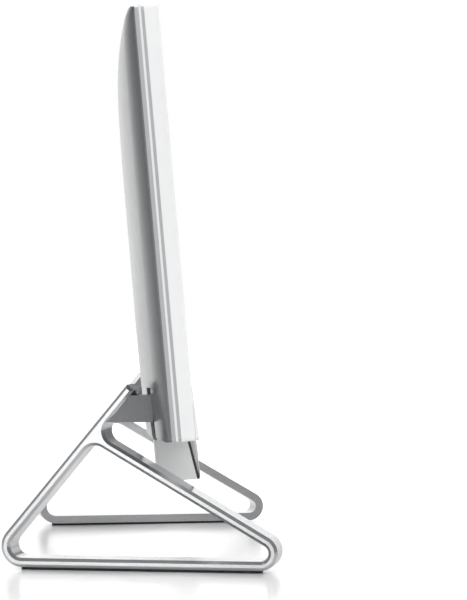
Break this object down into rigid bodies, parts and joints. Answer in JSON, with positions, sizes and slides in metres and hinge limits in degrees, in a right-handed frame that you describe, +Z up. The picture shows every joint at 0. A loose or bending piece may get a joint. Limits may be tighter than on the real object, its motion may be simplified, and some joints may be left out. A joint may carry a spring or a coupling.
{
  "type": "all in one pc",
  "caption": "All-in-one desktop computer: tilting flat display with a crowned back and a loudspeaker bar, on two splayed metal loop frames.",
  "frame": {"origin": "centre of the footprint, on the surface it stands on", "axes": "+X to the screen's right as its user sees it, the screen faces -Y, +Z up"},
  "size_m": [0.54, 0.2147, 0.4257],
  "materials": {
    "white_gloss": "smooth white with a soft sheen",
    "silver_cover": "fine metallic silver paint",
    "light_grey_rim": "satin light grey",
    "stand_metal": "satin, with bright chamfers",
    "arm_grey": "satin mid grey paint",
    "foot_rubber": "matte",
    "steel": "plated, lightly brushed",
    "clear_glass": "dark anti-glare",
    "panel_black": "smooth",
    "film_white": "smooth film",
    "board_green": "solder resist",
    "dark_plastic": "fine texture",
    "socket_metal": "plated",
    "copper": "copper, satin",
    "fin_metal": "mill finish",
    "grille_cloth": "fine woven loudspeaker cloth"
  },
  "bodies": {
    "stand": {"stand_frame_left": "stand_metal", "stand_frame_right": "stand_metal", "foot_strip_left": "foot_rubber", "foot_strip_right": "foot_rubber", "arm_cover_left": "arm_grey", "arm_cover_right": "arm_grey", "hinge_arm_left": "steel", "hinge_arm_right": "steel", "hinge_shaft_left": "steel", "hinge_shaft_right": "steel", "hinge_spring_washers": "steel", "hinge_nuts": "steel", "arm_screws": "steel"},
    "display": {"front_frame": "white_gloss", "chin_cover": "white_gloss", "screen_glass": "clear_glass", "lcd_panel": "panel_black", "diffuser_sheets": "film_white", "light_guide": "film_white", "led_strip": "film_white", "backlight_tray": "steel", "middle_frame": "light_grey_rim", "rear_cover": "silver_cover", "slot_liners": "silver_cover", "hinge_bracket_left": "steel", "hinge_bracket_right": "steel", "chassis_plate": "steel", "machine_screws": "steel", "system_board": "board_green", "processor": "steel", "cold_plate": "copper", "heat_pipe": "copper", "heat_sink": "fin_metal", "fan_housing": "dark_plastic", "memory_socket": "dark_plastic", "memory_modules": "board_green", "solid_state_drive": "board_green", "wireless_card": "board_green", "drive_caddy": "steel", "hard_drive": "fin_metal", "antennas": "dark_plastic", "port_plate": "dark_plastic", "usb_ports": "socket_metal", "video_ports": "socket_metal", "network_jack": "socket_metal", "power_jack": "dark_plastic", "headset_jack": "dark_plastic", "camera_guide": "dark_plastic", "button_switches": "dark_plastic", "soundbar_housing": "white_gloss", "soundbar_rear_cover": "white_gloss", "soundbar_trim": "dark_plastic", "soundbar_grille": "grille_cloth", "speaker_drivers": "dark_plastic"},
    "camera_slider": {"camera_housing": "light_grey_rim", "camera_window": "clear_glass", "camera_lens": "clear_glass"},
    "fan_rotor": {"fan_impeller": "dark_plastic"},
    "power_key": {"power_button": "light_grey_rim"},
    "display_key": {"display_button": "light_grey_rim"}
  },
  "joints": [
    {"name": "display_tilt", "type": "hinge", "parent": "stand", "child": "display", "pos_m": [0, -0.02028, 0.12324], "axis": [-1, 0, 0], "range_deg": [-10, 12]},
    {"name": "camera_slide", "type": "slide", "parent": "display", "child": "camera_slider", "axis": [0, 0.0872, 0.9962], "range_m": [0, 0.027]},
    {"name": "fan_spin", "type": "hinge", "parent": "display", "child": "fan_rotor", "pos_m": [-0.128, -0.00325, 0.33055], "axis": [0, 0.9962, -0.0872], "continuous": true},
    {"name": "power_press", "type": "slide", "parent": "display", "child": "power_key", "axis": [0, 0.0872, 0.9962], "range_m": [0, 0.0008], "stiffness_N_per_m": 500, "springref_m": -0.001},
    {"name": "display_press", "type": "slide", "parent": "display", "child": "display_key", "axis": [0, 0.0872, 0.9962], "range_m": [0, 0.0008], "stiffness_N_per_m": 500, "springref_m": -0.001}
  ]
}
